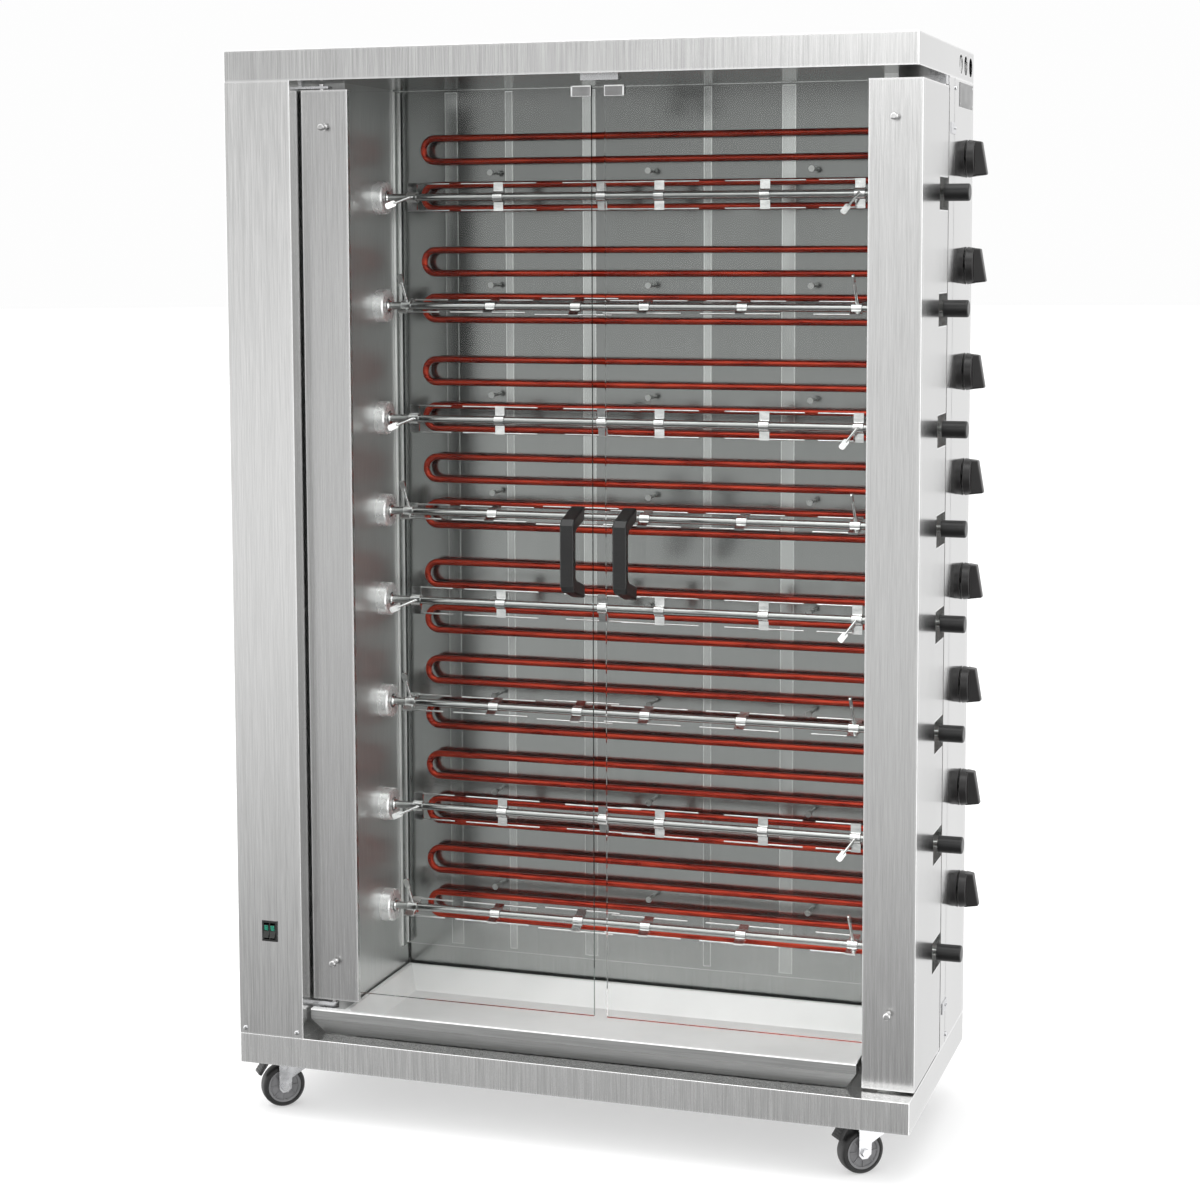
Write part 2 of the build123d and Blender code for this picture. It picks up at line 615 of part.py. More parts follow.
def make_left_door():
    t = SHEET
    x0, x1 = LEFT_STILE_X
    z0, z1 = LEFT_STILE_Z
    g0, g1 = GLASS_Y
    face = block(x0, x1, DOOR_Y, DOOR_Y + t, z0, z1) + block(x1 - t, x1, DOOR_Y, g0, z0, z1)
    face = face + block(x0, x0 + t, DOOR_Y, DOOR_RETURN_Y, z0, z1)
    edges = face.edges().filter_by(Axis.Z).filter_by_position(Axis.Y, DOOR_Y - 0.1, DOOR_Y + 0.1)
    face = fillet(edges, FOLD_R)
    face = face + block(x0, x1 - CLAMP_PLATE_INSET, g1, g1 + t, *GLASS_Z)
    for z in (z0, z1 - t):
        face = face + block(x0, x1 - t, DOOR_Y, DOOR_RETURN_Y, z, z + t)
    middle = (x0 + x1) / 2
    holes = [rod_y(BOLT_HOLE_R, middle, DOOR_Y - 5, DOOR_RETURN_Y, z) for z in CLAMP_Z]
    stile = cut(face, holes)
    px, py = LEFT_PIVOT
    stile = stile + rod_z(PIN_R, px, py, PIN_FOOT_Z, z0 + t)
    stile = stile + rod_z(PIN_R, px, py, z1 - t, PIN_TOP_Z + 1)
    nuts = [cap_nut(middle, z, DOOR_Y, g1 + t) for z in CLAMP_Z]
    clip = catch_plate(LEFT_GLASS_X[1] - CATCH_SIZE, LEFT_GLASS_X[1])
    save("left_door_stile", stile, *nuts, clip, *handle_bolts(HANDLE_X[0]))
    save("left_door_glass", glass(*LEFT_GLASS_X, middle, HANDLE_X[0]))
    save("left_door_handle", handle(HANDLE_X[0]))


def make_right_door():
    t = SHEET
    x0, x1 = COLUMN_X
    z0, z1 = COLUMN_Z
    g0, g1 = GLASS_Y
    rear = COLUMN_REAR_Y
    column = block(x0, x1, COLUMN_Y, COLUMN_Y + t, z0, z1) + block(x0, x0 + t, COLUMN_Y, g0, z0, z1)
    column = column + block(x1 - t, x1, COLUMN_Y, rear, z0, z1)
    edges = column.edges().filter_by(Axis.Z).filter_by_position(Axis.Y, COLUMN_Y - 0.1, COLUMN_Y + 0.1)
    column = fillet(edges, FOLD_R)
    column = column + block(x0 + COLUMN_PLATE_INSET, x1 - t, g1, g1 + t, *GLASS_Z)
    for z in (z0, z1 - t):
        front_cap = block(x0, x1 - 0.5, COLUMN_Y + 0.5, DOOR_RETURN_Y, z, z + t)
        side_cap = block(x1 - COLUMN_CAP, x1 - 0.5, DOOR_RETURN_Y - 2, rear, z, z + t)
        column = column + front_cap + side_cap
    tools = [block(x1 - 5, x1 + 5, NOTCH_Y, rear + 5, z - NOTCH_DOWN, z + NOTCH_UP) for z in SPIT_Z]
    middle = (x0 + x1) / 2
    tools += [rod_y(BOLT_HOLE_R, middle, COLUMN_Y - 5, DOOR_RETURN_Y, z) for z in CLAMP_Z]
    column = cut(column, tools)
    px, py = RIGHT_PIVOT
    column = column + rod_z(PIN_R, px, py, PANEL_Z[0] + 0.5, z0 + t)
    column = column + rod_z(PIN_R, px, py, z1 - t, PIN_TOP_Z)
    nuts = [cap_nut(middle, z, COLUMN_Y, g1 + t) for z in CLAMP_Z]
    clip = catch_plate(RIGHT_GLASS_X[0], RIGHT_GLASS_X[0] + CATCH_SIZE)
    save("right_door_column", column, *nuts, clip, *handle_bolts(HANDLE_X[1]))
    save("right_door_glass", glass(*RIGHT_GLASS_X, middle, HANDLE_X[1]))
    save("right_door_handle", handle(HANDLE_X[1]))


def make_door_hardware():
    px, py = LEFT_PIVOT
    x0 = LEFT_FRONT_X
    y0 = py - BRACKET_FRONT
    y1 = py + BRACKET_BACK
    bore = PIN_R + RUN_GAP
    z0, z1 = LOW_BRACKET_Z
    low = block(x0, px, y0, y1, z0, z1) + rod_z(BRACKET_BOSS_R, px, py, z0, z1)
    low = low - rod_z(bore, px, py, z0 - 2, z1 + 2)
    z0, z1 = HIGH_BRACKET_Z
    high = block(x0, px + 17, y0, y1, z0, z1) + block(x0, x0 + 3, y0, y1, z0, HOOD_Z[0])
    high = high - rod_z(bore, px, py, z0 - 2, z1 + 2)
    qx, qy = RIGHT_PIVOT
    pivot_area = (qx - 22, WIDTH - 2, qy - 14, qy + 10)
    foot = block(*pivot_area, PANEL_Z[0], PANEL_Z[0] + PIVOT_FOOT)
    foot = foot - rod_z(bore, qx, qy, PANEL_Z[0] - 1, PANEL_Z[0] + PIVOT_FOOT + 1)
    head = block(*pivot_area, PIVOT_HEAD_Z, HOOD_Z[0])
    head = head - rod_z(bore, qx, qy, PIVOT_HEAD_Z - 1, PIN_TOP_Z + 1)
    middle = (LEFT_GLASS_X[1] + RIGHT_GLASS_X[0]) / 2
    magnet = block(middle - MAGNET_HALF, middle + MAGNET_HALF, *MAGNET_Y, MAGNET_Z, HOOD_Z[0])
    plates = [low, high, foot, head, magnet]
    y0, y1 = POST_PLATE_Y
    for z in POST_PLATE_Z:
        plate = block(WIDTH, WIDTH + SHEET, y0, y1, z, z + 20)
        for y in (y1 - 14, y1 - 5):
            plate = plate + rod_x(2.2, WIDTH + SHEET, WIDTH + SHEET + 1.2, y, z + 10)
        plates.append(plate)
    save("door_hardware", *plates)


def inset(rectangle, amount):
    x0, x1, y0, y1 = rectangle
    return (x0 + amount, x1 - amount, y0 + amount, y1 - amount)


def make_tray():
    t = SHEET
    z0, z1 = TRAY_Z
    x0, x1 = TRAY_LIP_X
    y0, y1 = TRAY_LIP_Y
    pan = frustum(TRAY_LOW, TRAY_HIGH, z0, z1) + block(*TRAY_RIM, z1 - t, z1)
    hollow = frustum(inset(TRAY_LOW, t), inset(TRAY_HIGH, t), z0 + t, z1 + t)
    lip = block(x0, x1, y0, y0 + t, z1 - TRAY_LIP_DROP, z1) + block(x0, x1, y0, y1, z1 - t, z1)
    top = z1 - TRAY_LIP_DROP + 0.5
    foot_y, foot_z = APRON_FOOT
    section = [(y0, top), (y0 + 1.6, top), (foot_y, foot_z), (foot_y - 1.7, foot_z)]
    apron = prism_x(section, x0, x1)
    wide, tall = APRON_CORNER
    foot = foot_z - 1.5
    for outside, inside in ((x0 - 1, x0 - 1 + tall), (x1 + 1, x1 + 1 - tall)):
        corner = [(outside, foot + wide), (outside, foot), (inside, foot)]
        apron = apron - prism_y(corner, y0 - 5, foot_y + 6)
    save("drip_tray", ((pan + lip) - hollow) + apron)


def place_castor(x, y, shape):
    return Pos(x, y, 0) * Rot(0, 0, SWIVEL_DEG) * shape


def castor_fork():
    """Crown, cup and two swept legs with the axle; trails along local +x, axle along local y."""
    length, half = CROWN
    z0, z1 = CROWN_Z
    body = block(-length, length, -half, half, z0, z1) + rod_z(CUP_R, 0, 0, z1, CUP_TOP_Z)
    body = body - rod_z(STEM_R + RUN_GAP, 0, 0, z1 - 0.1, CUP_TOP_Z + 1)
    for y0, head_y in ((-half, -half), (half - LEG_SHEET, half + AXLE_HEAD)):
        body = body + prism_y(list(LEG_OUTLINE), y0, y0 + LEG_SHEET)
        head = extrude(Plane.XZ * RegularPolygon(AXLE_HEAD_R, 6), AXLE_HEAD)
        body = body + Pos(TRAIL, head_y, WHEEL_R) * head
    return body + rod_y(AXLE_R, TRAIL, -half + 0.5, half - 0.5, WHEEL_R)


def ring_y(radii, y, depth):
    """Ring around the axle that reaches depth to both sides of y."""
    inner, outer = [rod_y(radius, TRAIL, y - depth, y + depth, WHEEL_R) for radius in radii]
    return outer - inner


def castor_wheel():
    wheel = rod_y(WHEEL_R, TRAIL, -WHEEL_HALF, WHEEL_HALF, WHEEL_R)
    wheel = fillet(wheel.edges(), TYRE_EDGE_R)
    for face in (-WHEEL_HALF, WHEEL_HALF):
        wheel = wheel - ring_y(WHEEL_DISH_R, face, WHEEL_DISH)
        wheel = wheel - ring_y(TYRE_GROOVE_R, face, TYRE_GROOVE)
    return wheel - rod_y(AXLE_R + RUN_GAP, TRAIL, -WHEEL_HALF - 1, WHEEL_HALF + 1, WHEEL_R)


def brake_pedal():
    return prism_y(list(PEDAL_OUTLINE), -PEDAL_HALF, PEDAL_HALF)


def make_castors():
    plates = []
    top = PLINTH_Z[0]
    half_x, half_y = CASTOR_PLATE
    corners = (("fl", 0, 0), ("fr", 1, 0), ("rl", 0, 1), ("rr", 1, 1))
    for name, i, j in corners:
        x = STEM_X[i]
        y = STEM_Y[j]
        z = top - CASTOR_PLATE_SHEET
        plate = block(x - half_x, x + half_x, y - half_y, y + half_y, z, top)
        plates.append(plate + rod_z(STEM_R, x, y, STEM_FOOT_Z, z + 0.5))
        save(f"castor_fork_{name}", place_castor(x, y, castor_fork()))
        save(f"castor_wheel_{name}", place_castor(x, y, castor_wheel()))
        if j == 0:
            save(f"brake_pedal_{name}", place_castor(x, y, brake_pedal()))
    save("castor_plates", *plates)


def make_fasteners():
    pieces = []
    for x in FRONT_SCREW_X:
        pieces.append(rod_y(SCREW_HEAD_R, x, -SCREW_HEAD, 0, FRONT_SCREW_Z))
    for z in SIDE_SCREW_Z:
        pieces.append(rod_x(SCREW_HEAD_R, WIDTH, WIDTH + SCREW_HEAD, SIDE_SCREW_Y, z))
    rear = REAR_Y + SHEET
    for z in REAR_SCREW_Z:
        for x in REAR_SCREW_X:
            pieces.append(rod_y(SCREW_HEAD_R, x, rear, rear + REAR_SCREW_HEAD, z))
    for z in ELEMENT_Z:
        for x in CLIP_X:
            stud = rod_y(STUD_R, x, STUD_NUT_Y[0] + 2, BACK_Y, z)
            pieces.append(stud + rod_y(STUD_NUT_R, x, *STUD_NUT_Y, z))
    bolt_x, bolt_y = CASTOR_BOLT_OFFSET
    z = PLINTH_Z[0] - CASTOR_PLATE_SHEET - CASTOR_BOLT
    for x in STEM_X:
        for y in STEM_Y:
            for dx in (-bolt_x, bolt_x):
                for dy in (-bolt_y, bolt_y):
                    head = RegularPolygon(CASTOR_BOLT_R, 6)
                    pieces.append(Pos(x + dx, y + dy, z) * extrude(head, CASTOR_BOLT))
    save("fasteners", *pieces)


def main():
    os.makedirs("parts", exist_ok=True)
    make_plinth()
    make_hood()
    make_left_cabinet()
    make_right_side()
    make_rear()
    make_elements()
    make_drives()
    for number in range(1, 9):
        make_spit(number)
        make_knob(number)
    make_switch()
    make_left_door()
    make_right_door()
    make_door_hardware()
    make_tray()
    make_castors()
    make_fasteners()


main()
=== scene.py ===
import json
import math

import bmesh
import bpy
from mathutils import Matrix, Vector


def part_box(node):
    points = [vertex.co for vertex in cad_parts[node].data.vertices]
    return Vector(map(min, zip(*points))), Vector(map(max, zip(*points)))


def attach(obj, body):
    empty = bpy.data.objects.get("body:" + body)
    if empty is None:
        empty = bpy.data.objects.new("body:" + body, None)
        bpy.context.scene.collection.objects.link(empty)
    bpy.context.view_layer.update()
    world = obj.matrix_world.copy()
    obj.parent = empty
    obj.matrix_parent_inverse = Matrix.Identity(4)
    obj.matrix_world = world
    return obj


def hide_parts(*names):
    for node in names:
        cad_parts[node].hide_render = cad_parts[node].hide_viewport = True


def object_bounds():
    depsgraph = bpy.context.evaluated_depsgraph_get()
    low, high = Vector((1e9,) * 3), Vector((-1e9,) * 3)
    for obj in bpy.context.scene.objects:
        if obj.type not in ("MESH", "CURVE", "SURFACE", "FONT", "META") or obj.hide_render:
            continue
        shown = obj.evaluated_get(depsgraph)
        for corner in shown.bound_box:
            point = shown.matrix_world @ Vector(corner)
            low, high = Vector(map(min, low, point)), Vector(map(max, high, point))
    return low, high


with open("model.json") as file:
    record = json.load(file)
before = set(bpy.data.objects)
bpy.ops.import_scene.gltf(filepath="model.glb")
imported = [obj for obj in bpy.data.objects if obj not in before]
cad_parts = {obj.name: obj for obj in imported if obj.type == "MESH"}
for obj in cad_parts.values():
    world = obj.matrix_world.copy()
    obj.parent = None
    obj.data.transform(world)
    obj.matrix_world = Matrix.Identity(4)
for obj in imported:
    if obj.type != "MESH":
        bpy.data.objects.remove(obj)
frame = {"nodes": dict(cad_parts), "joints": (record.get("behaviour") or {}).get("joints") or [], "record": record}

CAD_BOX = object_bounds()
NODES = frame["nodes"]
SLOT_OF = {part["node"]: part["material_slot"] for part in frame["record"]["subparts"]}
JOINTS = {joint["name"]: joint for joint in frame["joints"]}
MM = 0.001
CORNERS = ("fl", "fr", "rl", "rr")
WHITE = (1.0, 1.0, 1.0)
BLACK = (0.0, 0.0, 0.0)

# Brightness of the studio as (height, level) stops. A height is the sine of the angle above the
# floor; the front glow is slanted, so its height also falls from left to right. TURN is where the
# front passes into the rear, in y, and FLANK is where both pass into a bright strip, in x.
SLANT = 0.62
FRONT_GLOW = ((-1.0, 0.74), (-0.26, 0.78), (-0.15, 1.14), (-0.05, 0.80), (0.0, 0.82), (0.16, 1.04),
              (0.26, 0.92), (0.36, 0.55), (0.46, 0.70), (0.62, 1.7), (1.0, 1.9))
FRONT_FLOOR = ((-1.0, 0.28), (-0.36, 0.30), (-0.28, 0.55), (-0.18, 1.0), (1.0, 1.0))
REAR_SKY = ((-1.0, 0.95), (-0.2, 1.0), (0.0, 1.0), (1.0, 1.0))
TURN = (-0.3, 0.3)
FLANK = (0.78, 0.88)
FLANK_GLOW = 2.2
BACKDROP = 0.985
FLOOR_GLOW = 0.37
FLOOR_RADIUS = 60.0

# The photo's camera: yaw, pitch and roll in degrees, place in metres.
CAMERA_TURN = (18.153, 5.494, -0.172)
CAMERA_PLACE = (1.3526, -4.2147, 1.5958)
LENS = 73.29
LENS_SHIFT = -0.10

# Sizes in mm that the materials need: a spit's rod, and the reflector's beads behind the heaters.
ROD_RADIUS = 7.2
BEAD_DEPTH = 13.3

# Sizes in mm of what the pieces add to the CAD.
RIB_COUNT = 8
RIB_RADII = (11.0, 26.6)
RIB_HALF = 1.1
RIB_DEPTHS = ((-13.0, -10.5), (10.5, 13.0))
FLAT_SCREW = 3.0
SCREW_SPREAD = 0.55
SCREW_FOOT = 1.2
SCREW_RISE = 1.9
PLATE_LAP = 0.4
PLATE_RISE = 0.25
RIVET_INSET = 5.0
RIVET = ((0, -0.1), (1.8, -0.1), (1.5, 0.4), (0.8, 0.7), (0, 0.8))
KEY_PIVOT_RISE = 11.5
KEY_FACE = (4.0, 2.3)
KEY_HALF_HEIGHT = 12.0
LENS_HALF = 3.7
LENS_DEPTH = (-0.45, 0.6)
LENS_INSET = 1.2
PEDAL_KNEE = 61.0
PEDAL_TOE = 76.0
PAD_HALF = 13.5
PAD_RIB_HALF = 11.5
BAFFLE_INSET = 5.0
BAFFLE_SHEET = 1.2
BAFFLE_SPAN = (165.0, 52.0)
TRIM_RIBS = ((-1.0, 4.0), (26.0, 3.5))
CATCH_WIDTH = (30.0, 40.0)
RIM = 1.3


# ---------------------------------------------------------------- shader helpers

class Nodes:
    """Adds linked nodes to one node tree."""

    def __init__(self, tree):
        self.tree = tree

    def node(self, kind, **settings):
        made = self.tree.nodes.new("ShaderNode" + kind)
        for key, value in settings.items():
            setattr(made, key, value)
        return made

    def feed(self, socket, value):
        if isinstance(value, bpy.types.NodeSocket):
            self.tree.links.new(value, socket)
        else:
            socket.default_value = value

    def split(self, vector):
        made = self.node("SeparateXYZ")
        self.feed(made.inputs[0], vector)
        return made.outputs

    def remap(self, value, low, high, to_low, to_high):
        made = self.node("MapRange")
        for name, part in zip(("Value", "From Min", "From Max", "To Min", "To Max"),
                              (value, low, high, to_low, to_high)):
            self.feed(made.inputs[name], part)
        return made.outputs["Result"]

    def math(self, operation, a, b=0.0):
        made = self.node("Math", operation=operation)
        self.feed(made.inputs[0], a)
        self.feed(made.inputs[1], b)
        return made.outputs[0]

    def blend(self, factor, a, b):
        """Number between a and b."""
        made = self.node("Mix", data_type="FLOAT")
        self.feed(made.inputs[0], factor)
        self.feed(made.inputs[2], a)
        self.feed(made.inputs[3], b)
        return made.outputs[0]

    def mix(self, factor, a, b):
        """Colour between a and b."""
        made = self.node("Mix", data_type="RGBA")
        self.feed(made.inputs[0], factor)
        self.feed(made.inputs[6], opaque(a))
        self.feed(made.inputs[7], opaque(b))
        return made.outputs[2]

    def ramp(self, height, stops):
        """Brightness up to 2 against the sine of the angle above the floor."""
        made = self.node("ValToRGB")
        self.feed(made.inputs[0], self.remap(height, -1.0, 1.0, 0.0, 1.0))
        elements = made.color_ramp.elements
        while len(elements) < len(stops):
            elements.new(0.5)
        for element, (sine, level) in zip(elements, stops):
            element.position = (sine + 1) / 2
            element.color = (level / 2, level / 2, level / 2, 1.0)
        return self.math("MULTIPLY", made.outputs["Color"], 2.0)


class Shader(Nodes):
    """One material's node tree, driven by the piece's own coordinates in metres."""

    def __init__(self, name):
        self.material = bpy.data.materials.new(name)
        self.material.use_nodes = True
        super().__init__(self.material.node_tree)
        self.surface = self.tree.nodes["Principled BSDF"]
        coord = self.node("TexCoord")
        self.place = coord.outputs["Object"]
        self.facing = coord.outputs["Normal"]

    def noise(self, scale, detail=2.0, roughness=0.5):
        """Noise stretched by a scale per axis, in features per metre."""
        mapping = self.node("Mapping")
        self.feed(mapping.inputs["Vector"], self.place)
        mapping.inputs["Scale"].default_value = scale
        made = self.node("TexNoise")
        self.feed(made.inputs["Vector"], mapping.outputs["Vector"])
        made.inputs["Scale"].default_value = 1.0
        made.inputs["Detail"].default_value = detail
        made.inputs["Roughness"].default_value = roughness
        return made.outputs["Fac"]

    def bump(self, height, strength, distance):
        made = self.node("Bump")
        made.inputs["Strength"].default_value = strength
        made.inputs["Distance"].default_value = distance
        self.feed(made.inputs["Height"], height)
        self.feed(self.surface.inputs["Normal"], made.outputs["Normal"])

    def wear_and_highlight_edges(self, color, radius, strength, bright):
        """Painted highlight and wear: blend a colour towards a brighter one along the piece's edges."""
        bevel = self.node("Bevel", samples=4)
        bevel.inputs["Radius"].default_value = radius
        geometry = self.node("NewGeometry")
        dot = self.node("VectorMath", operation="DOT_PRODUCT")
        self.feed(dot.inputs[0], bevel.outputs["Normal"])
        self.feed(dot.inputs[1], geometry.outputs["Normal"])
        worn_and_lit = self.remap(dot.outputs["Value"], 0.995, 0.88, 0.0, 1.0)
        return self.mix(self.math("MULTIPLY", worn_and_lit, strength), color, bright)

    def set(self, **values):
        names = {"color": "Base Color", "metal": "Metallic", "rough": "Roughness", "ior": "IOR",
                 "coat": "Coat Weight", "coat_rough": "Coat Roughness",
                 "clear": "Transmission Weight", "specular": "Specular IOR Level"}
        for key, value in values.items():
            self.feed(self.surface.inputs[names[key]], opaque(value) if key == "color" else value)
        return self.material


def opaque(color):
    return (*color, 1.0) if isinstance(color, tuple) and len(color) == 3 else color


def scaled(color, factor):
    return tuple(part * factor for part in color)


def brushed(name, tint, rough, side_tint=None, side_gloss=0.45):
    """Stainless sheet with a vertical brushed grain, faint clouds and a painted highlight along its folded edges.
    """
    s = Shader(name)
    fine = s.noise((820, 820, 12), 3.0, 0.65)
    streak = s.noise((210, 210, 3.0), 2.0)
    cloud = s.noise((3.1, 3.1, 1.3), 2.0)
    grain = s.math("ADD", s.math("MULTIPLY", fine, 0.75), s.math("MULTIPLY", streak, 0.25))
    color = s.mix(s.remap(grain, 0.36, 0.64, 0.0, 1.0), scaled(tint, 0.86), scaled(tint, 1.1))
    color = s.mix(s.remap(cloud, 0.3, 0.7, 0.0, 0.10), color, scaled(tint, 0.8))
    roughness = s.remap(grain, 0.3, 0.7, rough - 0.04, rough + 0.07)
    if side_tint is not None:
        # Painted shade: faces that turn sideways take the darker side_tint; side_gloss makes them glossier.
        sideways = s.math("GREATER_THAN", s.math("ABSOLUTE", s.split(s.facing)[0]), 0.8)
        patch = s.remap(cloud, 0.3, 0.7, 0.0, 1.0)
        plain = s.mix(patch, scaled(side_tint, 0.96), scaled(side_tint, 1.04))
        color = s.mix(sideways, color, plain)
        roughness = s.math("MULTIPLY", roughness, s.remap(sideways, 0.0, 1.0, 1.0, side_gloss))
    # Painted highlight: the folded edges are blended almost to white.
    color = s.wear_and_highlight_edges(color, 4.6 * MM, 0.95, WHITE)
    s.bump(grain, 0.10, 0.0005)
    return s.set(color=color, metal=1.0, rough=roughness)


def polished(name, tint, rough, bead_y=None):
    """Bright rolled sheet, slightly clouded. With bead_y, painted light makes it brighter towards its
    foot, and what stands proud of bead_y gets a painted highlight."""
    s = Shader(name)
    fine = s.noise((420, 420, 14), 2.0)
    stain = s.noise((7, 7, 2.2), 3.0, 0.55)
    color = s.mix(s.remap(fine, 0.35, 0.65, 0.0, 1.0), scaled(tint, 0.95), scaled(tint, 1.04))
    color = s.mix(s.remap(stain, 0.42, 0.75, 0.0, 0.3), color, scaled(tint, 0.76))
    if bead_y is not None:
        _, y, z = s.split(s.place)
        # Painted light: brighter towards the foot.
        color = s.mix(s.remap(z, 1.75, 0.3, 0.0, 1.0), scaled(tint, 0.86), scaled(tint, 1.6))
        color = s.mix(s.remap(fine, 0.35, 0.65, 0.1, 0.0), color, scaled(tint, 0.5))
        # Painted highlight on what stands proud of bead_y.
        painted_highlight = s.mix(s.remap(stain, 0.35, 0.6, 0.0, 1.0), scaled(tint, 1.3), scaled(tint, 2.0))
        color = s.mix(s.math("LESS_THAN", y, bead_y), color, painted_highlight)
    color = s.wear_and_highlight_edges(color, 2.2 * MM, 0.8, (0.9, 0.92, 0.9))
    s.bump(fine, 0.03, 0.0004)
    return s.set(color=color, metal=1.0, rough=s.remap(stain, 0.3, 0.75, rough, rough + 0.06))


def tray_steel(name):
    """Bright satin pan; its brushed apron at the front is painted darker as shade, darkest on faces that turn
    downwards, and its upper edge gets a painted white highlight.
    """
    s = Shader(name)
    _, forward, upward = s.split(s.facing)
    _, y, z = s.split(s.place)
    low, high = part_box("drip_tray")
    front = s.math("LESS_THAN", y, low.y + 25 * MM)
    apron = s.math("MULTIPLY", s.math("LESS_THAN", forward, -0.5), front)
    # Painted highlight: a white line along the apron's upper edge.
    painted_highlight = s.math("MULTIPLY", apron, s.math("GREATER_THAN", z, high.z - 2.6 * MM))
    grain = s.noise((12, 600, 600), 3.0, 0.6)
    stain = s.noise((5, 7, 7), 3.0, 0.55)
    pan = s.mix(s.remap(stain, 0.35, 0.7, 0.0, 1.0), (0.95, 0.955, 0.95), (0.84, 0.85, 0.845))
    # Painted shade: the apron's steel is darker than the pan, and faces that turn downwards darker still.
    lip = s.mix(s.remap(grain, 0.35, 0.65, 0.0, 1.0), (0.46, 0.465, 0.46), (0.58, 0.585, 0.58))
    downward_shade = s.remap(upward, -0.45, -0.1, 1.0, 0.0)
    dark = s.mix(downward_shade, lip, s.mix(0.62, lip, BLACK))
    color = s.mix(painted_highlight, s.mix(apron, pan, dark), WHITE)
    metal = s.remap(s.math("SUBTRACT", apron, painted_highlight), 0.0, 1.0, 0.12, 1.0)
    s.bump(grain, 0.03, 0.0004)
    return s.set(color=color, metal=metal, rough=s.remap(stain, 0.3, 0.75, 0.30, 0.36))


def plated(name, tint, rough, cloud=0.0, metal=1.0):
    """Chromed or zinc-plated steel: fine polishing marks, faint clouds, brighter edges."""
    s = Shader(name)
    fine = s.noise((500, 500, 500), 2.0)
    patch = s.noise((60, 60, 60), 3.0)
    color = s.mix(s.remap(patch, 0.35, 0.65, 0.0, 1.0), scaled(tint, 0.96 - 0.3 * cloud), tint)
    color = s.wear_and_highlight_edges(color, 0.8 * MM, 0.5, (0.95, 0.95, 0.95))
    s.bump(fine, 0.04, 0.0003)
    dull = rough + 0.06 + 0.1 * cloud
    return s.set(color=color, metal=metal, rough=s.remap(patch, 0.3, 0.7, rough, dull))


def moulded(name, tint, rough, grain=900, strength=0.12, metal=0.0):
    """Moulded plastic or rubber: fine texture, dusty variation and lighter edges."""
    s = Shader(name)
    fine = s.noise((grain, grain, grain), 2.0, 0.6)
    dust = s.noise((35, 35, 35), 3.0)
    color = s.mix(s.remap(dust, 0.4, 0.7, 0.0, 0.5), tint, scaled(tint, 1.6))
    color = s.wear_and_highlight_edges(color, 1.2 * MM, 0.35, tuple(0.1 + 0.8 * part for part in tint))
    s.bump(fine, strength, 0.0004)
    return s.set(color=color, metal=metal, rough=s.remap(fine, 0.3, 0.7, rough - 0.06, rough + 0.08))


def heater_red(name):
    """Enamelled heater tube, mottled from use."""
    s = Shader(name)
    along = s.noise((14, 160, 160), 3.0, 0.6)
    speck = s.noise((300, 700, 700), 2.0)
    color = s.mix(s.remap(along, 0.38, 0.64, 0.0, 1.0), (0.22, 0.016, 0.008), (0.46, 0.048, 0.022))
    color = s.mix(s.remap(speck, 0.62, 0.72, 0.0, 0.5), color, (0.12, 0.012, 0.008))
    s.bump(speck, 0.1, 0.0003)
    return s.set(color=color, metal=0.85, rough=s.remap(along, 0.3, 0.7, 0.24, 0.36))


def spit_steel(name, axis_y, axis_z, rod_radius):
    """Turned rod with a painted dark reflection that keeps it darker than the bright forks and thumb screws on it.
    """
    s = Shader(name)
    _, y, z = s.split(s.place)
    across = s.math("POWER", s.math("SUBTRACT", y, axis_y), 2.0)
    above = s.math("POWER", s.math("SUBTRACT", z, axis_z), 2.0)
    radius = s.math("SQRT", s.math("ADD", across, above))
    turned = s.noise((900, 60, 60), 2.0)
    film = s.noise((30, 90, 90), 3.0)
    outside = s.remap(radius, rod_radius, rod_radius + 0.6 * MM, 0.0, 1.0)
    # Painted reflection: the rod is painted darker than the forks of the same steel.
    rod = s.mix(film, (0.36, 0.37, 0.365), (0.52, 0.53, 0.52))
    bright = s.mix(s.remap(film, 0.35, 0.65, 0.0, 1.0), (0.62, 0.63, 0.625), (0.88, 0.885, 0.88))
    color = s.wear_and_highlight_edges(s.mix(outside, rod, bright), 0.8 * MM, 0.5, (0.95, 0.95, 0.95))
    s.bump(turned, 0.05, 0.0003)
    return s.set(color=color, metal=1.0, rough=s.remap(film, 0.3, 0.7, 0.10, 0.22))


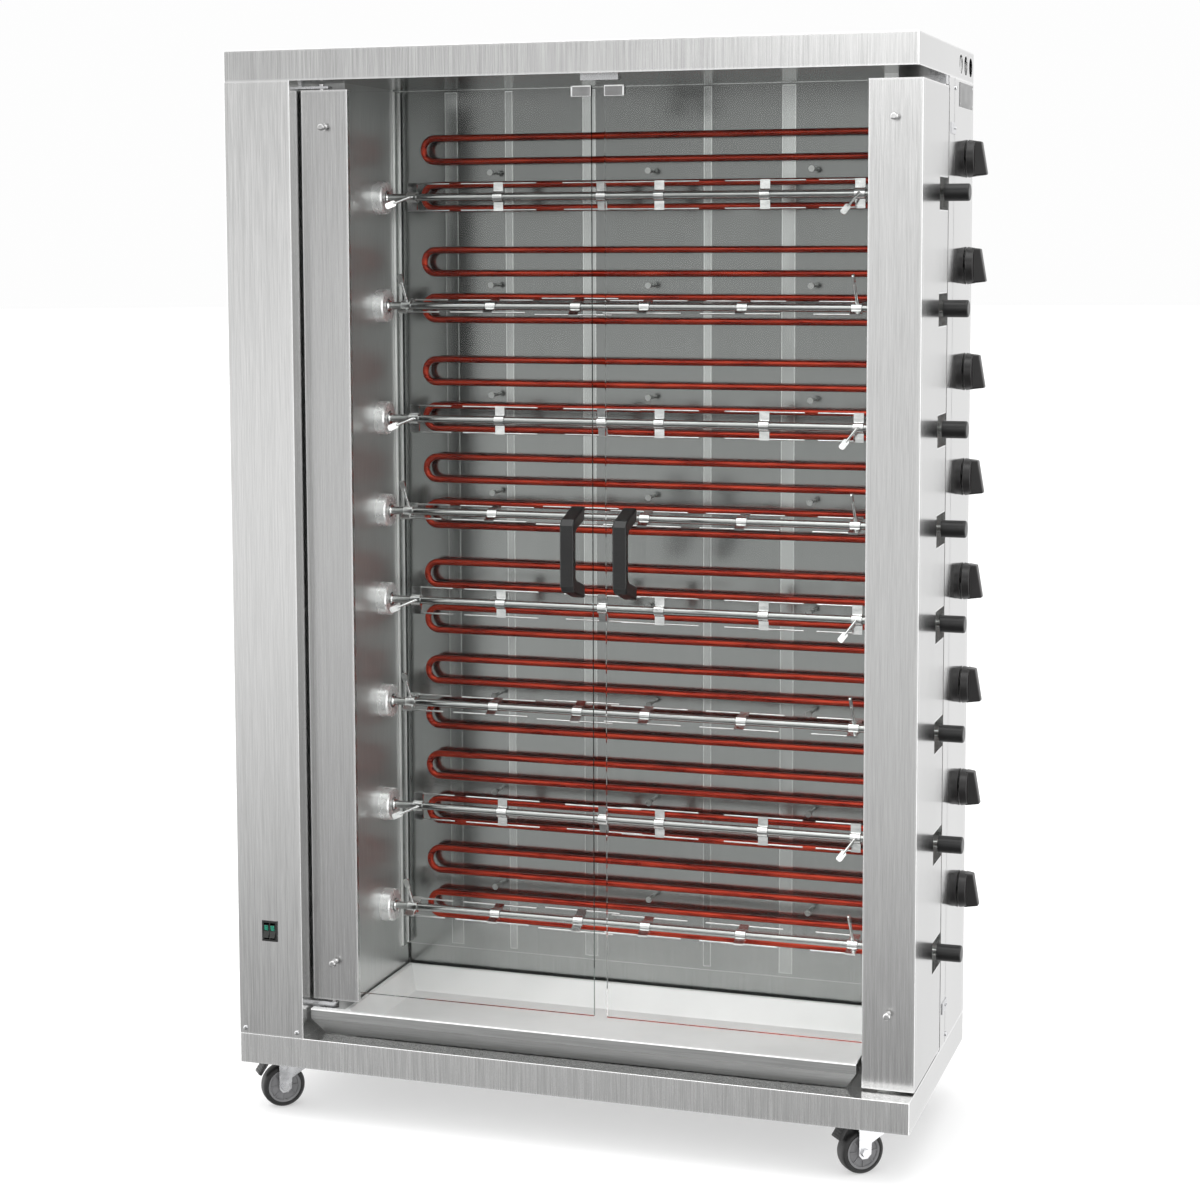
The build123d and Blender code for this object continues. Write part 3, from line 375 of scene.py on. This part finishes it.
def clear_glass(name):
    """Toughened glass that lets lamp light through; its cut edges are a dark green."""
    s = Shader(name)
    smear = s.noise((4, 4, 9), 3.0)
    clean = s.mix(s.remap(smear, 0.45, 0.8, 0.0, 1.0), (0.99, 0.993, 0.99), (0.97, 0.975, 0.972))
    edge = s.math("LESS_THAN", s.math("ABSOLUTE", s.split(s.facing)[1]), 0.6)
    color = s.mix(edge, clean, (0.10, 0.13, 0.115))
    s.set(color=color, clear=1.0, ior=1.14, rough=0.0, specular=0.12)
    path = s.node("LightPath").outputs
    through = s.node("BsdfTransparent")
    through.inputs["Color"].default_value = (0.975, 0.98, 0.976, 1.0)
    lit = s.math("MAXIMUM", path["Is Shadow Ray"], path["Is Diffuse Ray"])
    glossy = s.math("SUBTRACT", path["Is Glossy Ray"], path["Is Transmission Ray"])
    reflected = s.math("GREATER_THAN", glossy, 0.5)
    both = s.node("MixShader")
    s.feed(both.inputs[0], s.math("MAXIMUM", lit, reflected))
    s.feed(both.inputs[1], s.surface.outputs[0])
    s.feed(both.inputs[2], through.outputs[0])
    s.feed(s.tree.nodes["Material Output"].inputs["Surface"], both.outputs[0])
    return s.material


def lens_green(name):
    """Moulded green lens with a glossy coat."""
    s = Shader(name)
    cells = s.noise((600, 600, 600), 1.0)
    color = s.mix(s.remap(cells, 0.35, 0.65, 0.0, 1.0), (0.0, 0.10, 0.06), (0.02, 0.26, 0.17))
    s.bump(cells, 0.2, 0.0003)
    return s.set(color=color, rough=s.remap(cells, 0.3, 0.7, 0.16, 0.26), coat=0.6, coat_rough=0.1)


MATERIALS = {
    "brushed_stainless": brushed("steel_brushed", (0.76, 0.76, 0.755), 0.20),
    "polished_stainless": polished("steel_polished", (0.25, 0.258, 0.253), 0.17,
                                   bead_y=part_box("heating_elements")[1].y + BEAD_DEPTH * MM),
    "satin_stainless": polished("steel_satin", (0.74, 0.75, 0.743), 0.34),
    "element_red": heater_red("heater_red"),
    "chrome": plated("chrome", (0.92, 0.92, 0.92), 0.24, metal=0.6),
    "motor_housing": moulded("motor_grey", (0.10, 0.105, 0.11), 0.45, 300),
    "regulator_plastic": moulded("regulator_cream", (0.62, 0.58, 0.48), 0.5),
    "switch_black": moulded("switch_black", (0.012, 0.012, 0.012), 0.3),
    "rocker_plastic": moulded("rocker_black", (0.010, 0.012, 0.010), 0.22),
    "zinc_steel": plated("zinc", (0.74, 0.745, 0.76), 0.22, 0.5),
    "clear_glass": clear_glass("door_glass"),
    "black_plastic": moulded("handle_black", (0.007, 0.007, 0.007), 0.32, 700, 0.08),
    "knob_plastic": moulded("knob_black", (0.012, 0.011, 0.011), 0.34, 800, 0.1),
    "castor_rubber": moulded("tyre_black", (0.012, 0.012, 0.012), 0.55, 500, 0.15),
}
# Copies of the brushed steel whose tints are painted light and shade: the hood, side panels, column and stile are
# painted darker, the plinth lighter, and the second tint paints sideways faces darker still.
SIDE_STEEL = brushed("steel_mirror_side", (0.64, 0.64, 0.636), 0.20, (0.60, 0.60, 0.597))
COLUMN_STEEL = brushed("steel_column", (0.68, 0.68, 0.676), 0.20, (0.59, 0.59, 0.587), 0.95)
PLINTH_STEEL = brushed("steel_plinth", (0.86, 0.86, 0.855), 0.24, (0.62, 0.62, 0.617), 0.6)
STILE_STEEL = brushed("steel_stile", (0.56, 0.56, 0.557), 0.22)
TRAY_STEEL = tray_steel("steel_tray")
STUD_GREY = plated("stud_grey", (0.42, 0.43, 0.42), 0.25, 0.3)
SPECIAL = {"right_side_panels": SIDE_STEEL, "right_door_column": COLUMN_STEEL, "top_hood": SIDE_STEEL,
           "plinth": PLINTH_STEEL, "left_door_stile": STILE_STEEL, "drip_tray": TRAY_STEEL,
           "fasteners": STUD_GREY}
TRIM_STEEL = plated("trim_steel", (0.92, 0.93, 0.92), 0.28, metal=0.6)
PEDAL_BLACK = moulded("pedal_black", (0.018, 0.018, 0.018), 0.5, 600, 0.15)
HUB_GREY = moulded("hub_grey", (0.16, 0.16, 0.165), 0.45, 500)
PLATE_GREY = moulded("plate_grey", (0.24, 0.24, 0.24), 0.45, 400, 0.1, metal=0.5)
LENS_GREEN = lens_green("lens_green")


# ---------------------------------------------------------------- mesh helpers

def islands(node):
    """The (low, high) boxes of a CAD node's separate solids."""
    bm = bmesh.new()
    bm.from_mesh(NODES[node].data)
    bmesh.ops.remove_doubles(bm, verts=bm.verts, dist=1e-6)
    seen = set()
    boxes = []
    for start in bm.verts:
        if start in seen:
            continue
        seen.add(start)
        stack = [start]
        low, high = start.co.copy(), start.co.copy()
        while stack:
            v = stack.pop()
            low = Vector(map(min, low, v.co))
            high = Vector(map(max, high, v.co))
            for edge in v.link_edges:
                other = edge.other_vert(v)
                if other not in seen:
                    seen.add(other)
                    stack.append(other)
        boxes.append((low, high))
    bm.free()
    return boxes


def mm(*parts):
    return tuple(part * MM for part in parts)


def middle(box):
    return (box[0] + box[1]) / 2


def piece(name, bm, body, materials, smooth_deg=35):
    """Turn a bmesh in the object's frame at rest into a piece that rides on a body."""
    bmesh.ops.recalc_face_normals(bm, faces=bm.faces)
    mesh = bpy.data.meshes.new(name)
    bm.to_mesh(mesh)
    bm.free()
    for material in materials:
        mesh.materials.append(material)
    made = bpy.data.objects.new(name, mesh)
    bpy.context.scene.collection.objects.link(made)
    mesh.polygons.foreach_set("use_smooth", [True] * len(mesh.polygons))
    mesh.set_sharp_from_angle(angle=math.radians(smooth_deg))
    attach(made, body)
    return made


def axis_frame(origin, axis):
    """Matrix that takes local z to axis at origin."""
    return Matrix.Translation(origin) @ Vector(axis).to_track_quat("Z", "Y").to_matrix().to_4x4()


def lathe(bm, profile, frame_matrix, segments=64):
    """Closed surface of revolution. The profile is (radius, height, material) from pole to pole."""
    rings = []
    for radius, height, _ in profile:
        if radius < 1e-7:
            rings.append([bm.verts.new(frame_matrix @ Vector((0, 0, height)))])
            continue
        ring = []
        for k in range(segments):
            angle = 2 * math.pi * k / segments
            ring.append(bm.verts.new(frame_matrix @ Vector((radius * math.cos(angle),
                                                            radius * math.sin(angle), height))))
        rings.append(ring)
    for index in range(len(rings) - 1):
        lower, upper = rings[index], rings[index + 1]
        for k in range(segments):
            n = (k + 1) % segments
            if len(lower) == 1:
                corners = (lower[0], upper[k], upper[n])
            elif len(upper) == 1:
                corners = (lower[k], upper[0], lower[n])
            else:
                corners = (lower[k], upper[k], upper[n], lower[n])
            bm.faces.new(corners).material_index = profile[index][2]


def slab(bm, low, high, bevel, matrix=None, material=0):
    """Block with rounded edges."""
    low, high = Vector(low), Vector(high)
    made = bmesh.ops.create_cube(bm, size=1.0)["verts"]
    for v in made:
        v.co = Vector(tuple((c + 0.5) * (h - l) + l for c, l, h in zip(v.co, low, high)))
    edges = list({e for v in made for e in v.link_edges})
    result = bmesh.ops.bevel(bm, geom=edges, offset=bevel, segments=2, affect="EDGES", profile=0.6)
    verts = list({v for f in result["faces"] for v in f.verts} | {v for v in made if v.is_valid})
    if matrix is not None:
        bmesh.ops.transform(bm, matrix=matrix, verts=verts)
    for face in {f for v in verts for f in v.link_faces}:
        face.material_index = material


def cross_head(bm, cutters, centre, axis, radius, height):
    """Domed screw head, and the cross recess to cut out of it."""
    place = axis_frame(centre, axis)
    profile = [(0, -0.2 * height, 0), (radius, -0.2 * height, 0), (radius, 0.35 * height, 0),
               (0.86 * radius, 0.72 * height, 0), (0.55 * radius, 0.94 * height, 0), (0, height, 0)]
    lathe(bm, profile, place, 24)
    arm, width = 0.55 * radius, 0.13 * radius
    for turn in (0.4, 0.4 + math.pi / 2):
        spin = place @ Matrix.Rotation(turn, 4, "Z")
        slab(cutters, (-arm, -width, 0.45 * height), (arm, width, 1.3 * height), 0.02 * radius, spin)


def subtract(target, cutter_bm):
    """Cut a helper mesh out of a piece and leave no helper behind."""
    mesh = bpy.data.meshes.new("cutter")
    cutter_bm.to_mesh(mesh)
    cutter_bm.free()
    helper = bpy.data.objects.new("cutter", mesh)
    bpy.context.scene.collection.objects.link(helper)
    modifier = target.modifiers.new("recess", "BOOLEAN")
    modifier.operation = "DIFFERENCE"
    modifier.solver = "EXACT"
    modifier.use_self = True
    modifier.object = helper
    bpy.context.view_layer.update()
    result = bpy.data.meshes.new_from_object(target.evaluated_get(bpy.context.evaluated_depsgraph_get()))
    target.modifiers.clear()
    target.data = result
    bpy.data.objects.remove(helper)


# ---------------------------------------------------------------- pieces

def rod_material(node):
    """Spit steel centred on the axis of this spit's grip."""
    grip_low, grip_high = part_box(node.replace("spit_", "spit_grip_"))
    axis = (grip_low + grip_high) / 2
    return spit_steel(f"{node}_steel", axis.y, axis.z, ROD_RADIUS * MM)


def paint_cad_nodes():
    """Give every CAD node the material of its slot, or its own."""
    for node, made in NODES.items():
        if SLOT_OF[node] == "spit_steel":
            material = rod_material(node)
        else:
            material = SPECIAL.get(node) or MATERIALS[SLOT_OF[node]]
        if not made.material_slots:
            made.data.materials.append(material)
        for place in made.material_slots:
            place.material = material


def wheel_profile():
    """Section of a wheel from pole to pole: (radius, height, material), where 0 is rubber and 1 hub."""
    half = [(0, 15.2, 1), (10, 15.2, 1), (11.5, 14.2, 1), (12, 11.4, 1), (25.5, 11.0, 1), (27.0, 13.2, 1),
            (30.6, 13.6, 0), (31.4, 12.6, 0), (32.6, 12.6, 0), (33.2, 13.7, 0), (36.6, 13.4, 0),
            (38.6, 11.6, 0), (39.6, 8.0, 0), (40, 3.0, 0)]
    profile = [(r * MM, -h * MM, m) for r, h, m in half]
    for k in range(len(half) - 1, -1, -1):
        radius, height, _ = half[k]
        profile.append((radius * MM, height * MM, half[max(k - 1, 0)][2]))
    return profile


def make_wheels():
    """Tyre and hub turned from one profile, with ribs in the hub's recess."""
    for corner in CORNERS:
        node = f"castor_wheel_{corner}"
        place = axis_frame(middle(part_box(node)), JOINTS[f"wheel_{corner}_roll"]["axis"])
        bm = bmesh.new()
        lathe(bm, wheel_profile(), place, 72)
        for k in range(RIB_COUNT):
            spin = place @ Matrix.Rotation(2 * math.pi * k / RIB_COUNT, 4, "Z")
            for inner, outer in RIB_DEPTHS:
                low = mm(RIB_RADII[0], -RIB_HALF, inner)
                high = mm(RIB_RADII[1], RIB_HALF, outer)
                slab(bm, low, high, 0.4 * MM, spin, 1)
        made = piece(f"wheel_{corner}_tyre", bm, f"wheel_{corner}",
                     [MATERIALS["castor_rubber"], HUB_GREY])
        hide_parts(node)


def make_screws():
    """Cross-head screws over the plain panel screws of the cabinet."""
    bm, cutters = bmesh.new(), bmesh.new()
    for low, high in islands("fasteners"):
        size = high - low
        centre = middle((low, high))
        if size.x < FLAT_SCREW * MM:
            foot = (high.x - SCREW_FOOT * MM, centre.y, centre.z)
            cross_head(bm, cutters, foot, (1, 0, 0), size.y * SCREW_SPREAD, SCREW_RISE * MM)
        elif size.y < FLAT_SCREW * MM:
            side, outer = (-1, low.y) if centre.y < 0 else (1, high.y)
            foot = (centre.x, outer - side * SCREW_FOOT * MM, centre.z)
            cross_head(bm, cutters, foot, (0, side, 0), size.x * SCREW_SPREAD, SCREW_RISE * MM)
    made = piece("panel_screws", bm, "cabinet", [MATERIALS["zinc_steel"]])
    subtract(made, cutters)


def make_blank_plate():
    """Grey plate with rivets on the control side."""
    low, high = max(islands("right_side_panels"), key=lambda box: box[1].x)
    bm = bmesh.new()
    face = high.x + PLATE_RISE * MM
    lap = PLATE_LAP * MM
    slab(bm, (low.x + 0.1 * MM, low.y - lap, low.z - lap), (face, high.y + lap, high.z + lap), 0.3 * MM)
    rivet = [(*mm(radius, height), 1) for radius, height in RIVET]
    inset = RIVET_INSET * MM
    for y in (low.y + inset, high.y - inset):
        for z in (low.z + inset, high.z - inset):
            lathe(bm, rivet, axis_frame((face, y, z), (1, 0, 0)), 20)
    piece("blank_plate", bm, "cabinet", [PLATE_GREY, MATERIALS["zinc_steel"]])


def make_rocker_lenses():
    """Green lens set into the sloping upper half of each key."""
    for side in ("left", "right"):
        low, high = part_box(f"rocker_{side}")
        centre, top = (low.y + depth * MM for depth in KEY_FACE)
        length = math.hypot(KEY_HALF_HEIGHT * MM, centre - top)
        tilt = math.atan2(centre - top, KEY_HALF_HEIGHT * MM)
        pivot = Matrix.Translation(((low.x + high.x) / 2, centre, low.z + KEY_PIVOT_RISE * MM))
        bm = bmesh.new()
        slab(bm, mm(-LENS_HALF, LENS_DEPTH[0], LENS_INSET),
             (LENS_HALF * MM, LENS_DEPTH[1] * MM, length - LENS_INSET * MM),
             0.35 * MM, pivot @ Matrix.Rotation(tilt, 4, "X"))
        piece(f"rocker_{side}_lens", bm, f"rocker_{side}_key", [LENS_GREEN])


def make_brake_pads():
    """Ribbed pad on the sloping end of each brake pedal."""
    for corner in ("fl", "fr"):
        low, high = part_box(f"brake_pedal_{corner}")
        hinge = JOINTS[f"pedal_{corner}_press"]
        axis = Vector(hinge["axis"]).normalized()
        x, y, _ = JOINTS[f"castor_{corner}_swivel"]["pos_m"]
        trail = Vector((hinge["pos_m"][0] - x, hinge["pos_m"][1] - y, 0)).normalized()
        knee = Vector((x, y, high.z)) + trail * PEDAL_KNEE * MM
        toe = Vector((x, y, low.z + 1.5 * MM)) + trail * PEDAL_TOE * MM
        down = (toe - knee).normalized()
        out = down.cross(axis).normalized()
        if out.dot(trail) < 0:
            out = -out
        place = Matrix((axis, out, down)).transposed().to_4x4()
        place.translation = knee
        length = (toe - knee).length
        half = PAD_HALF * MM
        rib = PAD_RIB_HALF * MM
        bm = bmesh.new()
        slab(bm, (-half, -3.4 * MM, -1.5 * MM), (half, 3.2 * MM, length + 1.2 * MM), 1.2 * MM, place)
        for k in range(5):
            z = (0.12 + 0.19 * k) * length
            slab(bm, (-rib, 2.8 * MM, z - 1.1 * MM), (rib, 4.4 * MM, z + 1.1 * MM), 0.5 * MM, place)
        piece(f"brake_pad_{corner}", bm, f"pedal_{corner}", [PEDAL_BLACK])


def make_vent_baffle():
    """Folded strip behind the first two hood vents."""
    low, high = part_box("top_hood")
    x1 = high.x - BAFFLE_INSET * MM
    x0 = x1 - BAFFLE_SHEET * MM
    z0, z1 = low.z + 3 * MM, high.z - 3 * MM
    y0, y1 = (high.y - distance * MM for distance in BAFFLE_SPAN)
    bm = bmesh.new()
    slab(bm, (x0, y0, z0), (x1, y1, z1), 0.4 * MM)
    slab(bm, (x0, y1 - 1.0 * MM, z0), (x1 + 3 * MM, y1 + 0.2 * MM, z1), 0.4 * MM)
    piece("vent_baffle", bm, "cabinet", [MATERIALS["brushed_stainless"]])


def make_corner_trim():
    """Two rounded ribs along the flange between the drive wall and the reflector."""
    low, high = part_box("back_wall")
    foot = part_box("drip_tray")[1].z + 42 * MM
    x0, x1 = low.x + 0.2 * MM, low.x + 4.5 * MM
    bm = bmesh.new()
    for offset, width in TRIM_RIBS:
        y = low.y + offset * MM
        slab(bm, (x0, y, foot), (x1, y + width * MM, high.z - 3 * MM), 1.2 * MM)
    piece("corner_trim", bm, "cabinet", [TRIM_STEEL])


def catch_clip(node):
    """Box of the clip at the top of a door's glass."""
    narrow, wide = mm(*CATCH_WIDTH)
    clips = []
    for low, high in islands(node):
        size = high - low
        if narrow < size.x < wide and size.z < narrow:
            clips.append((low, high))
    return max(clips, key=lambda box: box[1].z)


def make_catch_faces():
    """Grey plate with a bright folded rim on the front of each door's catch clip."""
    for side, node, outward in (("left", "left_door_stile", -1), ("right", "right_door_column", 1)):
        low, high = catch_clip(node)
        rim, back = low.y - RIM * MM, low.y + 0.4 * MM
        top = high.z - 0.2 * MM
        bm = bmesh.new()
        slab(bm, (low.x + 1.5 * MM, low.y - 0.6 * MM, low.z + 0.8 * MM),
             (high.x - 1.5 * MM, back, high.z - 1.6 * MM), 0.25 * MM)
        slab(bm, (low.x + 0.3 * MM, rim, high.z - 2.4 * MM),
             (high.x - 0.3 * MM, back, top), 0.4 * MM, material=1)
        edge = low.x if outward < 0 else high.x
        x0, x1 = sorted((edge - outward * 0.3 * MM, edge - outward * 3.0 * MM))
        slab(bm, (x0, rim, low.z + 0.4 * MM), (x1, back, top), 0.4 * MM, material=1)
        piece(f"catch_face_{side}", bm, f"{side}_door", [PLATE_GREY, TRIM_STEEL])


# ---------------------------------------------------------------- stage, camera, light

def make_floor():
    """Pale floor that mirrors nothing and glows a little."""
    mesh = bpy.data.meshes.new("floor")
    bm = bmesh.new()
    bmesh.ops.create_circle(bm, cap_ends=True, radius=FLOOR_RADIUS, segments=96)
    bm.to_mesh(mesh)
    bm.free()
    floor = bpy.data.objects.new("floor", mesh)
    bpy.context.scene.collection.objects.link(floor)
    s = Shader("floor_pale")
    mottle = s.noise((0.7, 0.7, 0.7), 3.0)
    color = s.mix(mottle, (0.64, 0.64, 0.64), (0.66, 0.66, 0.66))
    s.surface.inputs["Emission Color"].default_value = opaque(WHITE)
    s.surface.inputs["Emission Strength"].default_value = FLOOR_GLOW
    mesh.materials.append(s.set(color=color, rough=s.remap(mottle, 0.3, 0.7, 0.7, 0.8), specular=0.1))
    floor.visible_glossy = False


def make_world():
    """Slanted glow in front, even light behind and a bright strip to both sides."""
    world = bpy.data.worlds.new("studio")
    bpy.context.scene.world = world
    world.use_nodes = True
    n = Nodes(world.node_tree)
    x, y, z = n.split(n.node("TexCoord").outputs["Generated"])
    slanted = n.math("SUBTRACT", z, n.math("MULTIPLY", x, SLANT))
    front = n.math("MULTIPLY", n.ramp(slanted, FRONT_GLOW), n.ramp(z, FRONT_FLOOR))
    room = n.blend(n.remap(y, *TURN, 0.0, 1.0), front, n.ramp(z, REAR_SKY))
    lit = n.blend(n.remap(n.math("ABSOLUTE", x), *FLANK, 0.0, 1.0), room, FLANK_GLOW)
    seen = n.blend(n.node("LightPath").outputs["Is Camera Ray"], lit, BACKDROP)
    background = world.node_tree.nodes["Background"]
    background.inputs["Color"].default_value = opaque(WHITE)
    n.feed(background.inputs["Strength"], seen)


def make_light(name, place, target, size, power):
    data = bpy.data.lights.new(name, "AREA")
    data.shape = "RECTANGLE"
    data.size, data.size_y = size
    data.energy = power
    light = bpy.data.objects.new(name, data)
    light.location = place
    light.rotation_euler = (Vector(target) - Vector(place)).to_track_quat("-Z", "Y").to_euler()
    bpy.context.scene.collection.objects.link(light)


def make_camera():
    """Eye level in front of the right half, turned to the left and slightly down."""
    data = bpy.data.cameras.new("camera")
    data.sensor_width = 36.0
    data.lens = LENS
    data.shift_y = LENS_SHIFT
    data.clip_end = 200.0
    yaw, pitch, roll = (math.radians(angle) for angle in CAMERA_TURN)
    ahead = Vector((-math.sin(yaw), math.cos(yaw), 0.0))
    forward = ahead * math.cos(pitch) - Vector((0.0, 0.0, math.sin(pitch)))
    level = Vector((math.cos(yaw), math.sin(yaw), 0.0))
    above = level.cross(forward)
    right = level * math.cos(roll) + above * math.sin(roll)
    up = above * math.cos(roll) - level * math.sin(roll)
    camera = bpy.data.objects.new("camera", data)
    turn = Matrix((right, up, -forward)).transposed().to_4x4()
    camera.matrix_world = Matrix.Translation(CAMERA_PLACE) @ turn
    bpy.context.scene.collection.objects.link(camera)
    bpy.context.scene.camera = camera


def main():
    make_camera()
    make_world()
    make_floor()
    centre = (CAD_BOX[0] + CAD_BOX[1]) / 2
    make_light("key", (0.4, -5.2, 3.4), centre, (3.0, 2.0), 25.0)
    make_light("side", (4.6, 1.5, 2.8), centre, (2.4, 2.4), 15.0)
    make_light("top", (0.3, -0.6, 4.6), centre, (3.0, 3.0), 40.0)
    paint_cad_nodes()
    make_wheels()
    make_screws()
    make_blank_plate()
    make_rocker_lenses()
    make_brake_pads()
    make_vent_baffle()
    make_corner_trim()
    make_catch_faces()
    bpy.context.scene.view_settings.view_transform = "Standard"


main()
